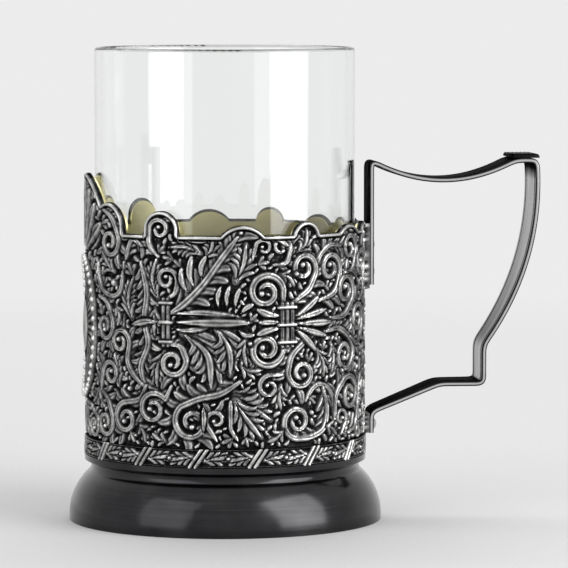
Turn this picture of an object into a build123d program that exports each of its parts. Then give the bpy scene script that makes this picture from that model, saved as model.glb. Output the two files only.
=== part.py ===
from build123d import *
import math
import os

# Tea glass holder with its glass, in millimetres. Z is up, the foot stands on z = 0 and
# the handle points along +X. Angles round the wall start at the cartouche, which faces -X,
# and reach 180 at the handle. The ornament is mirrored about the XZ plane.

# Tea glass
glass_d = 67.0
glass_h = 103.8
glass_wall = 1.6
glass_base = 6.0
glass_heel_r = 3.0
glass_floor_r = 5.0
punt_d = 44.0
punt_h = 0.8

# Sleeve that the glass stands in
glass_gap = 0.6
sleeve_wall = 0.6
sleeve_h = 58.2
sleeve_step = 0.7
joint_gap = 0.05
# How far inside the bore the shapes pushed through the wall start, and how far past it they end
push_depth = 6.0

# Ornamented jacket round the sleeve: a sheet with raised scrollwork, of which the clasps
# stand out furthest
sheet_t = 0.5
relief_h = 1.5
crest_w = 30.0
crest_rise = 14.3
# Each smaller lobe of the rim: angle, width and rise above the rim
rim_lobes = [
    (27, 12.0, 7.6),
    (56, 9.0, 6.1),
    (90, 11.0, 2.6),
    (118, 8.0, 3.3),
    (145, 10.0, 1.9),
    (166, 9.0, 1.9),
]

# Scrollwork. It is drawn on the unrolled wall, as distances round from the crest and heights,
# for a wall of radius drawn_r that has the leaf band's upper edge at drawn_band_z
drawn_r = 36.0
drawn_band_z = 22.0
# Height of the stems, and of the leaves, above the sheet
stem_h = 1.2
leaf_h = 0.9
stem_w = 1.7
main_stem_w = 2.0
# Each half turn of a scroll loses this share of its radius. What is left holds an eye
winding_step = 0.27
winding_turns = (180, 150)
eye_share = 0.65
# Each scroll: the points that its stem runs through, then the middle that it winds round
scrolls = [
    ([(36.6, 59.4), (39.2, 61), (39.9, 64)], (36.9, 64.4)),
    ([(37.4, 48.2), (40.6, 47.6), (42.1, 44.6)], (38.5, 43.6)),
    ([(67.2, 57.6), (67.3, 61.6)], (62.5, 61.3)),
    ([(67.2, 48), (67.2, 46.4)], (62.6, 46.9)),
    ([(69.4, 57.9), (71.6, 59.6), (74.6, 61.6), (76.6, 65)], (73.2, 67)),
    ([(77.4, 50.6), (72.8, 48), (69.6, 45), (68.5, 41)], (72.5, 40.6)),
    ([(56, 39), (51, 35.9), (45.6, 34.6), (40.8, 32.6)], (43.6, 28.6)),
    ([(79.4, 36.4), (80.8, 31), (79.6, 26.2), (75.6, 24.3), (71.4, 24)], (71.2, 28.4)),
    ([(67, 40.4), (64.4, 40.4)], (63.4, 37.4)),
    ([(30.8, 37), (26.9, 40), (25, 43.4), (25.6, 47.4)], (22.2, 48)),
    ([(14.6, 81.4), (19, 79), (21.6, 74.8)], (18, 73)),
    ([(34.6, 70), (32, 73), (32, 77)], (34.9, 76.8)),
    ([(31, 37.4), (29, 34), (24.6, 32.9)], (24.3, 28.7)),
    ([(13, 35.6), (17, 33), (19.2, 28.6)], (15.7, 27)),
    ([(13.6, 34.8), (14.8, 39.4)], (18.3, 39.6)),
    ([(12.6, 59), (16.6, 57.6), (18.9, 54)], (15.7, 51.6)),
    ([(38.2, 37.6), (36.6, 34.2)], (33, 31.6)),
    ([(78, 58.6), (83.6, 60.4), (85.8, 64.6)], (82.2, 66.6)),
    ([(82, 54), (87.6, 54.2), (92.2, 57.6)], (88.9, 60.6)),
    ([(80, 50.6), (85.8, 51), (91.6, 48)], (88.4, 44.4)),
    ([(83.9, 29), (84.6, 34.4), (88, 37.8)], (91, 34)),
    ([(90.4, 24), (94.8, 26), (96.4, 31), (97.6, 36.4)], (101.4, 35.6)),
    ([(91.2, 48.6), (95.4, 46.6), (99.6, 49.6)], (96.2, 52.8)),
    ([(97.4, 57.6), (101.8, 60), (103, 64.8)], (99, 66.6)),
    ([(88.4, 65), (92.6, 66), (94.6, 69.6)], (91, 71.2)),
]
# Main stems that end without a scroll
main_stems = [
    [(38.2, 56.1), (41.5, 58.2), (46.4, 63.1), (50.8, 69.2), (55.4, 75.4)],
    [(12.2, 67.5), (12.8, 63.3), (14.6, 60.9), (17.5, 59.6), (20.4, 59.6), (22.6, 61.4), (23.3, 66)],
    [(29.4, 68.6), (31.2, 61), (30.4, 54), (31.6, 48), (29.4, 42), (31, 36.6)],
    [(73.6, 33.4), (75.6, 36.3), (78.4, 37.4), (81.6, 35.9), (83.4, 32.5), (83.9, 28)],
    [(53.4, 34), (53.4, 29.3), (53.6, 26.8), (55.4, 24)],
    [(76.8, 66.4), (78.4, 70), (82, 72.4), (86.4, 72)],
]
# Leaves and petals: root, middle, tip and half width
leaves = [
    ((54.8, 64), (56.8, 68.6), (57.4, 73.4), 2.4),
    ((41.4, 51.2), (47.4, 46), (48.6, 37), 3.2),
    ((50.3, 52.2), (53, 47), (53.4, 40.4), 2.7),
    ((56, 43), (58.4, 41.6), (61.6, 41.8), 1.6),
    ((34.4, 59.6), (32.9, 64), (34, 69.4), 1.8),
    ((54.6, 36), (58.6, 35), (62, 33), 1.7),
    ((54.8, 34.8), (59, 32), (64, 29), 2.5),
    ((54.6, 34), (57.4, 29.6), (61.4, 24.6), 2.5),
    ((47, 70), (48.6, 72), (49, 75.6), 1.5),
    ((46, 71), (42, 72.6), (37.6, 72.4), 1.8),
    ((26.4, 54), (25.2, 58.4), (26.8, 64.4), 1.9),
    ((102.6, 60), (104.6, 67), (104, 73), 1.5),
    ((77.6, 46), (79.4, 43), (79.6, 39.4), 1.9),
    ((36.2, 46), (34.4, 42.4), (34.2, 37.4), 1.7),
    ((19.6, 65.6), (17, 67.6), (14.4, 70.6), 1.6),
    ((66.6, 37.6), (66, 34.6), (66.6, 31.6), 1.6),
    ((57.6, 50), (56.8, 46), (57.6, 42.6), 1.6),
    ((71.4, 71), (73.6, 73), (74, 77), 1.5),
    ((70.4, 54.8), (74, 56.8), (78, 59.8), 1.15),
    ((70.4, 54.2), (75.4, 55.2), (80.6, 56.4), 1.1),
    ((70.4, 53.2), (76, 53), (82.8, 53), 1.25),
    ((70.4, 52.4), (75.4, 51), (80.6, 49.6), 1.1),
    ((70.4, 51.8), (73.4, 49.6), (77, 46), 1.15),
    ((38.4, 53.8), (48, 53.7), (59, 53.7), 1.45),
    ((34.8, 53.6), (31, 53.6), (26.6, 52.6), 1.2),
    ((2.7, 70.2), (8.4, 74.2), (13.6, 77.4), 2.2),
    ((2, 70.2), (6.1, 76.7), (9.8, 82.4), 2.2),
    ((1, 70.2), (3.2, 78.5), (5.2, 86), 2.2),
    ((0, 70.2), (0, 79.4), (0, 87.8), 2.2),
    ((1.2, 31.4), (4.8, 30.2), (8, 30.4), 1.6),
    ((0.8, 31.4), (3.1, 27.3), (5.2, 24.6), 1.6),
    ((0, 31.4), (0, 26.4), (0, 22.8), 1.6),
]
# Clasps that bind the stems: place, width and height
clasps = [
    ((36.6, 53.6), 3.0, 11.6),
    ((68.4, 52.9), 4.4, 10.6),
]
clasp_round = 1.2

# Cartouche on the crest side: a bare oval plaque in a beaded frame
plaque_w = 19.0
plaque_h = 34.0
plaque_t = 0.9
frame_w = 1.6
frame_t = 1.1
bead_r = 0.75
bead_count = 44
cartouche_up = 28.5

# Leaf band round the lower edge
band_h = 4.8
band_t = 1.35
band_leaf_h = 0.55
band_units = 15
band_leaf_w = 2.6
tie_w = 1.1
tie_tilt = 32

# Foot
cove_r = 1.7
dome_r = 15.0
foot_flare = 5.7
foot_edge = 1.4
foot_wall = 1.0
foot_land = 2.6
shelf_lip = 1.5
shelf_w = 6.2
base_plate_t = 0.8

# Handle: a bent strap that stands on the rim side and on a tab above the leaf band
strap_t = 1.3
strap_root_w = 9.6
strap_tip_w = 15.0
pad_proud = 0.25
pad_margin = 1.0
tang_l = 15.0
tang_rise = 17.0
top_sag = 5.0
thumb_x = 37.4
thumb_w = 5.6
arm_bow = 4.6
arm_low_x = 29.3
step_h = 10.0
ledge_x = 17.8
ledge_rise = 7.2
tab_l = 4.8
tab_gap = 0.4
thumb_plate_t = 1.0
thumb_plate_margin = 1.2

# Rivets of the handle
rivet_d = 2.2
rivet_head_d = 3.6
rivet_head_h = 0.9
rivet_edge = 3.2
upper_rivet_pitch = 7.0
lower_rivet_pitch = 5.6
rivet_inset = 0.1

# Radii worked out from the glass outwards
glass_r = glass_d / 2
bore_r = glass_r + glass_gap
sleeve_r = bore_r + sleeve_wall
sheet_in_r = sleeve_r + joint_gap
sheet_r = sheet_in_r + sheet_t
relief_r = sheet_r + relief_h
stem_r = sheet_r + stem_h
leaf_r = sheet_r + leaf_h
band_r = sheet_in_r + band_t
past_wall_r = relief_r + push_depth
push_from_r = bore_r - push_depth

# Heights worked out from the foot upwards
shelf_r = band_r + band_leaf_h / 2
waist_r = shelf_r - cove_r
foot_r = waist_r + foot_flare
arc_sum = dome_r + cove_r
cove_x_from_dome = arc_sum - foot_flare
cove_rise = math.sqrt(arc_sum**2 - cove_x_from_dome**2)
cove_z = foot_edge + cove_rise
shelf_under_z = cove_z + cove_r
shelf_z = shelf_under_z + shelf_lip
base_top_z = shelf_z + base_plate_t
band_top_z = shelf_z + band_h
rim_z = shelf_z + sleeve_h
cartouche_z = band_top_z + cartouche_up

# The handle's flats on the wall stand just proud of the scrollwork
pad_x = relief_r + pad_proud
strap_x = pad_x + strap_t / 2
tang_low_z = rim_z - tang_l
handle_top_z = rim_z + tang_rise
tab_low_z = band_top_z + tab_gap
tab_top_z = tab_low_z + tab_l
ledge_z = tab_top_z + ledge_rise
arm_low_z = ledge_z + step_h


def tube(r_in, r_out, z_low, z_high):
    """A plain round tube about the Z axis."""
    wall = extrude(Circle(r_out) - Circle(r_in), amount=z_high - z_low)
    return Pos(0, 0, z_low) * wall


def on_wall(angle, z):
    """A place just inside the wall that looks out at it: x runs round, y runs up."""
    turn = math.radians(angle)
    side = Vector(math.sin(turn), -math.cos(turn), 0)
    out = Vector(-math.cos(turn), -math.sin(turn), 0)
    return Plane(origin=out * push_from_r + Vector(0, 0, z), x_dir=side, z_dir=out).location


def through_wall(sketch, angle, z, tilt=0):
    """A sketch pushed out through the wall on one side."""
    return extrude(on_wall(angle, z) * Rot(0, 0, tilt) * sketch, amount=past_wall_r - push_from_r)


def lobe(width, rise):
    """A round lobe that stands on the x axis and has a straight root below it."""
    half = width / 2
    outline = ThreePointArc((-half, 0), (0, rise), (half, 0))
    outline += Polyline((half, 0), (half, -rise), (-half, -rise), (-half, 0))
    return make_face(outline)


def lobes(r_in, r_out, z_rim):
    """The crest and the smaller lobes that stand on a tube's rim, on both sides."""
    wall = tube(r_in, r_out, z_rim - crest_rise, z_rim + crest_rise)
    places = [(0, crest_w, crest_rise)]
    for angle, width, rise in rim_lobes:
        places += [(angle, width, rise), (-angle, width, rise)]
    return [wall & through_wall(lobe(width, rise), angle, z_rim) for angle, width, rise in places]


def leaf(length, width):
    """A pointed leaf between two arcs, from its stalk at the origin along x."""
    half = length / 2
    bow = width / 2
    outline = ThreePointArc((0, 0), (half, bow), (length, 0))
    outline += ThreePointArc((length, 0), (half, -bow), (0, 0))
    return make_face(outline)


def from_middle(points, middle):
    """Points of the drawing as seen from another of its points."""
    return [(x - middle[0], y - middle[1]) for x, y in points]


def raise_on_wall(sketch, middle):
    """A sketch about a point of the drawing, pushed out through the wall at that point."""
    return through_wall(sketch, math.degrees(middle[0] / drawn_r), band_top_z + middle[1] - drawn_band_z)


def scroll(stem, middle):
    """A stem that runs through its points and then winds inwards round its middle."""
    points = from_middle(stem, middle)
    near_x, near_y = points[-2]
    end_x, end_y = points[-1]
    radius = math.hypot(end_x, end_y)
    heading = math.degrees(math.atan2(end_y, end_x))
    hand = 1 if end_y * near_x > end_x * near_y else -1
    step = radius * winding_step
    centre = Vector(0, 0)
    path = Curve() + Polyline(*points)
    for turn in winding_turns:
        path += CenterArc(centre, radius, heading, hand * turn)
        heading += 180
        eye = centre
        centre += Vector(step, 0).rotate(Axis.Z, heading)
        radius -= step
    winding = SlotArc(Wire(path.edges()), stem_w)
    return winding + Pos(eye) * Circle(radius * eye_share)


def blade(root, middle, tip, half):
    """A leaf between two arcs from its root to its tip, to either side of its middle."""
    (root_x, root_y), (tip_x, tip_y) = from_middle([root, tip], middle)
    length = math.hypot(tip_x - root_x, tip_y - root_y)
    side = (half * (root_y - tip_y) / length, half * (tip_x - root_x) / length)
    outline = ThreePointArc((root_x, root_y), side, (tip_x, tip_y))
    outline += ThreePointArc((tip_x, tip_y), (-side[0], -side[1]), (root_x, root_y))
    return make_face(outline)


def carved(shapes, r_top):
    """Shapes pushed through the wall and cut to one height above the sheet, on both sides."""
    zone = tube(sheet_r - sheet_t / 2, r_top, band_top_z, rim_z)
    zone = zone.fuse(*lobes(sheet_r - sheet_t / 2, r_top, rim_z))
    zone -= through_wall(oval(frame_w + bead_r), 0, cartouche_z)
    first, *others = shapes
    raised = first.fuse(*others) & zone
    return [raised, mirror(raised, Plane.XZ)]


def scrollwork():
    """The raised ornament: stems and scrolls, lower leaves and petals, and higher clasps."""
    stems = [raise_on_wall(scroll(stem, middle), middle) for stem, middle in scrolls]
    for points in main_stems:
        middle = points[len(points) // 2]
        path = Polyline(*from_middle(points, middle))
        stems.append(raise_on_wall(SlotArc(Wire(path.edges()), main_stem_w), middle))
    blades = [raise_on_wall(blade(*row), row[1]) for row in leaves]
    bars = [raise_on_wall(RectangleRounded(wide, high, clasp_round), at) for at, wide, high in clasps]
    return carved(stems, stem_r) + carved(blades, leaf_r) + carved(bars, relief_r)


def oval(grow):
    """The plaque's oval, grown on every side."""
    return Ellipse(plaque_w / 2 + grow, plaque_h / 2 + grow)


def pad(z_low, z_high):
    """A flat on the wall behind the handle, between two heights."""
    width = strap_root_w + 2 * pad_margin
    block = Pos(pad_x / 2, 0, (z_low + z_high) / 2) * Box(pad_x, width, z_high - z_low)
    return block - Cylinder(sheet_in_r, 4 * rim_z)


def rivet_places():
    """The upper and the lower rivets' places, across and up."""
    low_z = tang_low_z + rivet_edge
    upper = [(0, low_z), (0, low_z + upper_rivet_pitch)]
    tab_z = (tab_low_z + tab_top_z - strap_t) / 2
    lower = [(-lower_rivet_pitch / 2, tab_z), (lower_rivet_pitch / 2, tab_z)]
    return upper, lower


def rod(y, z, radius, x_end):
    """A round rod from the axis out along the handle."""
    return Pos(0, y, z) * Rot(0, 90, 0) * extrude(Circle(radius), amount=x_end)


def rivet_holes():
    """Every rivet hole through the wall and the strap."""
    upper, lower = rivet_places()
    return [rod(y, z, rivet_d / 2 + joint_gap, pad_x + 2 * strap_t) for y, z in upper + lower]


def cap_arc(half_w, rise, low):
    """The arc from the edge of a shallow cap, half_w from the axis, up to its top on the axis."""
    ball_r = (half_w**2 + rise**2) / (2 * rise)
    lean = math.degrees(math.atan2(ball_r - rise, half_w))
    return CenterArc((0, low + rise - ball_r), ball_r, lean, 90 - lean)


def rivet():
    """One rivet about the z axis: its domed head stands on z = 0, its shank hangs below."""
    shank_r = rivet_d / 2
    head_r = rivet_head_d / 2
    outline = cap_arc(head_r, rivet_head_h, 0)
    outline += Polyline((0, rivet_head_h), (0, -pad_x), (shank_r, -pad_x), (shank_r, 0), (head_r, 0))
    return revolve(Plane.XZ * make_face(outline), Axis.Z)


def rivets(places):
    """Rivets with their heads on the strap, filed flush with the sleeve inside."""
    inside = Cylinder(bore_r + rivet_inset, 4 * rim_z)
    group = [Pos(pad_x + strap_t, y, z) * Rot(0, 90, 0) * rivet() - inside for y, z in places]
    return Compound([piece.solid() for piece in group])


def make_tea_glass():
    """A straight tumbler with a thick base, a shallow punt and a fire-polished rim."""
    low = base_top_z
    top = low + glass_h
    inner_r = glass_r - glass_wall
    lip_r = glass_wall / 2
    floor_z = low + glass_base
    outline = cap_arc(punt_d / 2, punt_h, low)
    outline += Line((punt_d / 2, low), (glass_r - glass_heel_r, low))
    outline += CenterArc((glass_r - glass_heel_r, low + glass_heel_r), glass_heel_r, 270, 90)
    outline += Line((glass_r, low + glass_heel_r), (glass_r, top - lip_r))
    outline += CenterArc((glass_r - lip_r, top - lip_r), lip_r, 0, 180)
    outline += Line((inner_r, top - lip_r), (inner_r, floor_z + glass_floor_r))
    outline += CenterArc((inner_r - glass_floor_r, floor_z + glass_floor_r), glass_floor_r, 0, -90)
    outline += Line((inner_r - glass_floor_r, floor_z), (0, floor_z))
    outline += Line((0, floor_z), (0, low + punt_h))
    return revolve(Plane.XZ * make_face(outline), Axis.Z)


def make_sleeve():
    """The smooth inner sleeve, a little lower than the jacket all round the rim."""
    top_z = rim_z - sleeve_step
    body = tube(bore_r, sleeve_r, shelf_z, top_z)
    return body.fuse(*lobes(bore_r, sleeve_r, top_z)) - rivet_holes()


def make_scrollwork_jacket():
    """The ornamented jacket: a sheet, raised scrollwork and the flats behind the handle."""
    sheet = tube(sheet_in_r, sheet_r, band_top_z, rim_z)
    pads = [pad(tang_low_z - pad_margin, rim_z), pad(band_top_z, tab_top_z)]
    pieces = scrollwork() + lobes(sheet_in_r, sheet_r, rim_z) + pads
    return sheet.fuse(*pieces) - rivet_holes()


def make_cartouche_plaque():
    """A bare oval plaque that follows the wall."""
    wall = tube(sheet_r + joint_gap, sheet_r + plaque_t, 0, 2 * rim_z)
    return wall & through_wall(oval(0), 0, cartouche_z)


def make_bead_frame():
    """The oval frame round the plaque, with a row of beads on it."""
    border = oval(frame_w) - oval(joint_gap)
    wall = tube(sheet_r + joint_gap, sheet_r + frame_t, 0, 2 * rim_z)
    rail = wall & through_wall(border, 0, cartouche_z)
    half_w = (plaque_w + frame_w) / 2
    half_h = (plaque_h + frame_w) / 2
    beads = []
    for index in range(bead_count):
        turn = 2 * math.pi * index / bead_count
        across = half_w * math.sin(turn)
        out = math.sqrt((sheet_r + frame_t) ** 2 - across**2)
        place = Pos(-out, across, cartouche_z + half_h * math.cos(turn))
        beads.append(place * Rot(0, -90, 0) * Sphere(bead_r))
    return rail.fuse(*beads)


def make_leaf_band():
    """The band of lying leaves, bound by slanted ties."""
    body = tube(sheet_in_r, band_r, shelf_z, band_top_z - joint_gap)
    zone = tube(sheet_in_r, band_r + band_leaf_h, shelf_z, band_top_z - joint_gap)
    unit_l = 2 * math.pi * band_r / band_units
    mid_z = shelf_z + band_h / 2
    tie = Rectangle(tie_w, 2 * band_h)
    blade = leaf(unit_l - 2 * tie_w, band_leaf_w)
    raised = []
    for index in range(band_units):
        angle = 360 * index / band_units
        raised.append(through_wall(tie, angle, mid_z, tie_tilt))
        raised.append(through_wall(Pos(-unit_l / 2 + tie_w, 0) * blade, angle + 180 / band_units, mid_z))
    return body.fuse(*[zone & shape for shape in raised])


def make_foot_shell():
    """The spun foot: a domed shell, a cove and a shelf under the sleeve."""
    dome_x = foot_r - dome_r
    lean = math.degrees(math.atan2(cove_rise, cove_x_from_dome))
    in_dome_r = dome_r - foot_wall
    in_cove_r = cove_r + foot_wall
    in_top_x = shelf_r - math.sqrt(in_cove_r**2 - cove_r**2)
    in_top_turn = math.degrees(math.asin(cove_r / in_cove_r))
    shelf_in_r = shelf_r - shelf_w
    outline = Line((foot_r, 0), (foot_r, foot_edge))
    outline += CenterArc((dome_x, foot_edge), dome_r, 0, lean)
    outline += CenterArc((shelf_r, cove_z), cove_r, 180 + lean, -90 - lean)
    outline += Polyline(
        (shelf_r, shelf_under_z),
        (shelf_r, shelf_z),
        (shelf_in_r, shelf_z),
        (shelf_in_r, shelf_under_z),
        (in_top_x, shelf_under_z),
    )
    outline += CenterArc((shelf_r, cove_z), in_cove_r, 180 - in_top_turn, in_top_turn + lean)
    outline += CenterArc((dome_x, foot_edge), in_dome_r, lean, -lean)
    outline += Polyline(
        (foot_r - foot_wall, foot_edge),
        (foot_r - foot_land, foot_edge),
        (foot_r - foot_land, 0),
        (foot_r, 0),
    )
    return revolve(Plane.XZ * make_face(outline), Axis.Z)


def make_base_plate():
    """The disc on the shelf that the glass stands on."""
    return Pos(0, 0, shelf_z) * extrude(Circle(bore_r - joint_gap), amount=base_plate_t)


def handle_path():
    """The strap's middle line, from the upper tang round to the lower tab."""
    tang_top = (strap_x, handle_top_z)
    sag_mid = (strap_x + thumb_x / 2, handle_top_z - top_sag)
    thumb_in = (strap_x + thumb_x, handle_top_z)
    thumb_out = (strap_x + thumb_x + thumb_w, handle_top_z)
    arm_end = (strap_x + arm_low_x, arm_low_z)
    path = Line((strap_x, tang_low_z), tang_top)
    path += ThreePointArc(tang_top, sag_mid, thumb_in)
    path += Line(thumb_in, thumb_out)
    path += SagittaArc(thumb_out, arm_end, arm_bow)
    path += Polyline(
        arm_end,
        (strap_x + arm_low_x, ledge_z),
        (strap_x + ledge_x, ledge_z),
        (strap_x, tab_top_z),
        (strap_x, tab_low_z),
    )
    return Wire(path.edges())


def make_handle_strap():
    """The bent strap, wider towards the thumb corner."""
    band = extrude(Plane.XZ * SlotArc(handle_path(), strap_t), amount=strap_tip_w, both=True)
    root = strap_root_w / 2
    tip = strap_tip_w / 2
    end_x = pad_x + thumb_x + thumb_w + 2 * strap_t
    plan = Polyline((pad_x, root), (end_x, tip), (end_x, -tip), (pad_x, -root), close=True)
    body = band & extrude(make_face(plan), amount=2 * handle_top_z)
    return body - rivet_holes()


def make_thumb_rest():
    """The small plate on the flat at the handle's upper corner."""
    length = thumb_w + strap_t
    mid_z = handle_top_z + (strap_t + thumb_plate_t) / 2
    plate = Box(length, strap_tip_w - thumb_plate_margin, thumb_plate_t)
    return Pos(strap_x + thumb_x + thumb_w / 2, 0, mid_z) * plate


upper_places, lower_places = rivet_places()
nodes = {
    "tea_glass": make_tea_glass(),
    "sleeve": make_sleeve(),
    "scrollwork_jacket": make_scrollwork_jacket(),
    "cartouche_plaque": make_cartouche_plaque(),
    "bead_frame": make_bead_frame(),
    "leaf_band": make_leaf_band(),
    "foot_shell": make_foot_shell(),
    "base_plate": make_base_plate(),
    "handle_strap": make_handle_strap(),
    "thumb_rest": make_thumb_rest(),
    "upper_rivets": rivets(upper_places),
    "lower_rivets": rivets(lower_places),
}

os.makedirs("parts", exist_ok=True)
for name, shape in nodes.items():
    export_step(shape, os.path.join("parts", name + ".step"))
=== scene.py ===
import math

import bmesh
import bpy
import numpy as np
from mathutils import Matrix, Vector


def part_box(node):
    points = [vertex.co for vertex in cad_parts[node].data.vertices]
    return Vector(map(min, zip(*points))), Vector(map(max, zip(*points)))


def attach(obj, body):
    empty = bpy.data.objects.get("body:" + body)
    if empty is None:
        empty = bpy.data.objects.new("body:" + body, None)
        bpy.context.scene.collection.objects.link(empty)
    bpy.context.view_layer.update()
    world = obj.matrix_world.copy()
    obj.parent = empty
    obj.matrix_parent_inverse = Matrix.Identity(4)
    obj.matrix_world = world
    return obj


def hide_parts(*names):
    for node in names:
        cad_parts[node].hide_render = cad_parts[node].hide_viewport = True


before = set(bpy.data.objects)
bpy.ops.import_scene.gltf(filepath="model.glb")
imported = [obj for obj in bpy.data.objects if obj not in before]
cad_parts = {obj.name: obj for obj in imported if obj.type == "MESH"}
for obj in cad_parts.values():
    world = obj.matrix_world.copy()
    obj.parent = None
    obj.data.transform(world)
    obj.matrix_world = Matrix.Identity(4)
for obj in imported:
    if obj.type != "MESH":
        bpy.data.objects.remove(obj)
scene = bpy.context.scene
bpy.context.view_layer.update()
MM = 0.001


def span(name):
    """A node's lowest and highest corner, in millimetres."""
    low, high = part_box(name)
    return low / MM, high / MM


# Sizes read from the frame, in millimetres
jacket_low, jacket_high = span("scrollwork_jacket")
sleeve_high = span("sleeve")[1]
band_low, band_high = span("leaf_band")
glass_high = span("tea_glass")[1]
plaque_low, plaque_high = span("cartouche_plaque")
bead_low, bead_high = span("bead_frame")
strap_low, strap_high = span("handle_strap")
thumb_low, thumb_high = span("thumb_rest")

# The wall: how far the carving stands off its ground, the sheet's thickness, and its gap to the sleeve
RELIEF = 1.5
SHEET = 0.5
SHEET_GAP = 0.05
SHEET_IN_R = sleeve_high.y + SHEET_GAP
GROUND_R = SHEET_IN_R + SHEET
CREST_RISE = 14.3
RIM_Z = jacket_high.z - CREST_RISE
WALL_LOW_Z = jacket_low.z
BEAD_R = -bead_low.x
# Each lobe of the rim: angle from the crest, width and rise
RIM_LOBES = [
    (0, 30, CREST_RISE),
    (27, 12, 7.6),
    (56, 9, 6.1),
    (90, 11, 2.6),
    (118, 8, 3.3),
    (145, 10, 1.9),
    (166, 9, 1.9),
]


# Node materials

def wire(tree, node, sockets):
    """Sets a node's sockets, or links them."""
    for name, value in sockets.items():
        if isinstance(value, bpy.types.NodeSocket):
            tree.links.new(value, node.inputs[name])
        else:
            node.inputs[name].default_value = value


def put(tree, kind, sockets=None, **settings):
    """A shader node with its settings and sockets."""
    made = tree.nodes.new("ShaderNode" + kind)
    for name, value in settings.items():
        setattr(made, name, value)
    wire(tree, made, sockets or {})
    return made


def material(name):
    """A new material with an empty principled shader, and its tree."""
    made = bpy.data.materials.new(name)
    made.use_nodes = True
    tree = made.node_tree
    tree.nodes.clear()
    shader = put(tree, "BsdfPrincipled")
    put(tree, "OutputMaterial", {"Surface": shader.outputs[0]})
    return made, tree, shader


def maths(tree, operation, a, b):
    """The result of one sum on two sockets or numbers."""
    return put(tree, "Math", {0: a, 1: b}, operation=operation).outputs[0]


def ramp(tree, factor, stops):
    """A colour ramp; each stop is its place and a grey level or a colour."""
    made = put(tree, "ValToRGB", {"Fac": factor})
    elements = made.color_ramp.elements
    while len(elements) < len(stops):
        elements.new(0.5)
    for element, (spot, colour) in zip(elements, stops):
        element.position = spot
        level = (colour,) * 3 if isinstance(colour, float) else colour
        element.color = (*level, 1)
    return made.outputs["Color"]


def fit(tree, value, low, high, to_low, to_high):
    """A value moved from one range to another, and held inside it."""
    return put(tree, "MapRange", {0: value, 1: low, 2: high, 3: to_low, 4: to_high}).outputs[0]


def place(tree):
    """Where a point is on the object."""
    return put(tree, "TexCoord").outputs["Object"]


# How marks are stretched by axis: evenly, along the bent strap, in rings round the axis, or up the glass
EVEN = (1, 1, 1)
BRUSHED = (0.06, 1, 0.06)
TURNED = (0.02, 0.02, 1)
DRAWN = (1, 1, 0.3)
# Most of a noise's values lie in this range
NOISE_SPAN = (0.3, 0.7)


def noise(tree, scale, detail, stretch=EVEN):
    """Noise over the object, in lumps per metre, stretched by axis."""
    spot = put(tree, "Mapping", {"Vector": place(tree), "Scale": stretch}).outputs[0]
    return put(tree, "TexNoise", {"Vector": spot, "Scale": scale, "Detail": detail}).outputs[0]


def axis_distance(tree):
    """How far a point is from the holder's axis, in metres."""
    flat = put(tree, "VectorMath", {0: place(tree), 1: (1, 1, 0)}, operation="MULTIPLY")
    return put(tree, "VectorMath", {0: flat.outputs[0]}, operation="LENGTH").outputs["Value"]


def bump(tree, height, strength, distance):
    """A bumped normal."""
    return put(tree, "Bump", {"Height": height, "Strength": strength, "Distance": distance}).outputs[0]


# How much fine marks on silver count beside its mottling
FINE_SHARE = 0.4
# Levels of silver from its black recesses to its rubbed crests, carved or polished
RECESSES = [(0.0, (0.006, 0.006, 0.0065)), (0.25, (0.03, 0.03, 0.031))]
BLACKENED = RECESSES + [
    (0.5, 0.18),
    (0.75, (0.58, 0.58, 0.57)),
    (1.0, (0.86, 0.86, 0.84)),
]
POLISHED = RECESSES + [
    (0.5, 0.26),
    (0.75, (0.52, 0.52, 0.515)),
    (1.0, (0.7, 0.7, 0.69)),
]


def oxidised(
    name, height, levels=BLACKENED, rough=(0.55, 0.24), mottling=0.12, edge=(0.12, 0.5), grain=EVEN
):
    """Silver that is black in its recesses and rubbed bright on its crests.

    Rough and edge are pairs, for the recesses and the crests: how rough they are, and how much of the
    glancing light they keep. Grain stretches the marks along an axis.
    """
    made, tree, shader = material(name)
    mottle = noise(tree, scale=420, detail=5, stretch=grain)
    fine = noise(tree, scale=2600, detail=3, stretch=grain)
    specks = FINE_SHARE * mottling
    rubbed = maths(tree, "ADD", height(tree), fit(tree, mottle, *NOISE_SPAN, -mottling, mottling))
    tone = maths(tree, "ADD", rubbed, fit(tree, fine, *NOISE_SPAN, -specks, specks))
    wire(tree, shader, {
        "Base Color": ramp(tree, tone, levels),
        "Metallic": 1.0,
        "Roughness": fit(tree, tone, 0.1, 0.9, *rough),
        "Specular Tint": ramp(tree, tone, [(0.2, edge[0]), (0.7, edge[1])]),
        "Normal": bump(tree, fine, 0.25, 0.00008),
    })
    return made


def mesh_tone(tree):
    """How high a carved point stands, from its mesh; on the strap the same tone also holds painted shade.
    """
    return put(tree, "Attribute", attribute_name="tone").outputs["Fac"]


# The distances from the axis at which a bead is black, and rubbed bright
BEAD_BLACK_R = BEAD_R - 1.7
BEAD_BRIGHT_R = BEAD_R - 0.2


def bead_height(tree):
    """How high a point of a bead stands, from its distance to the axis."""
    return fit(tree, axis_distance(tree), BEAD_BLACK_R * MM, BEAD_BRIGHT_R * MM, 0.0, 1.0)


carved_silver = oxidised("carved_silver", mesh_tone)
bead_silver = oxidised("bead_silver", bead_height)
# The strap's tone also holds painted shade on its level runs and in the thumb corner
strap_face = oxidised(
    "strap_face", mesh_tone, POLISHED, (0.42, 0.22), mottling=0.07, edge=(0.08, 0.85), grain=BRUSHED
)

# How much the rings on spun metal count beside its mottling
RING_SHARE = 0.25


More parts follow.
